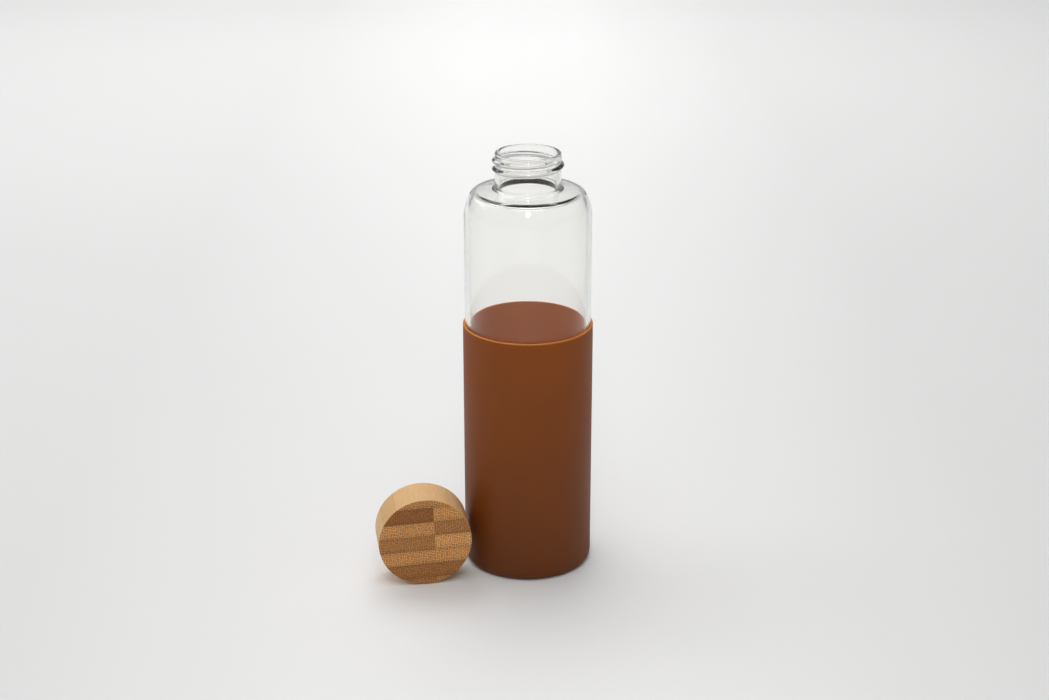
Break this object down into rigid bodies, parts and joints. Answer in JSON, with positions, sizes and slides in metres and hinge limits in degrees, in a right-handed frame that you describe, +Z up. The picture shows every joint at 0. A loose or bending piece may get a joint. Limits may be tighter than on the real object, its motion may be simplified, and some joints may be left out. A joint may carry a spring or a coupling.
{
  "type": "glass water bottle",
  "caption": "Clear glass water bottle in a half-height silicone sleeve, with a threaded neck and a round bamboo screw cap standing beside it.",
  "frame": {"origin": "centre of the sleeve's flat underside, where the bottle stands", "axes": "+Z up through the mouth; the loose cap stands on its rim at -X and -Y, its top face towards -Y"},
  "size_m": [0.1121, 0.0725, 0.2195],
  "materials": {
    "silicone_brown": "matt moulded silicone, warm brown",
    "clear_glass": "clear blown borosilicate, polished",
    "bamboo": "turned laminated bamboo, light satin oil",
    "liner_plastic": "moulded natural polypropylene",
    "seal_silicone": "moulded translucent silicone"
  },
  "bodies": {
    "sleeve": {"silicone_sleeve": "silicone_brown"},
    "bottle": {"glass_bottle": "clear_glass"},
    "cap": {"bamboo_cap": "bamboo", "cap_liner": "liner_plastic", "seal_ring": "seal_silicone"}
  },
  "joints": [
    {"name": "bottle_lift", "type": "slide", "parent": "sleeve", "child": "bottle", "axis": [0, 0, 1], "range_m": [0, 0.15]},
    {"name": "cap_carry", "type": "hinge", "parent": "sleeve", "child": "cap", "pos_m": [-0.08226, 0.14686, 0.19217], "axis": [-0.932, -0.3199, 0.1702], "range_deg": [0, 91.71]}
  ]
}
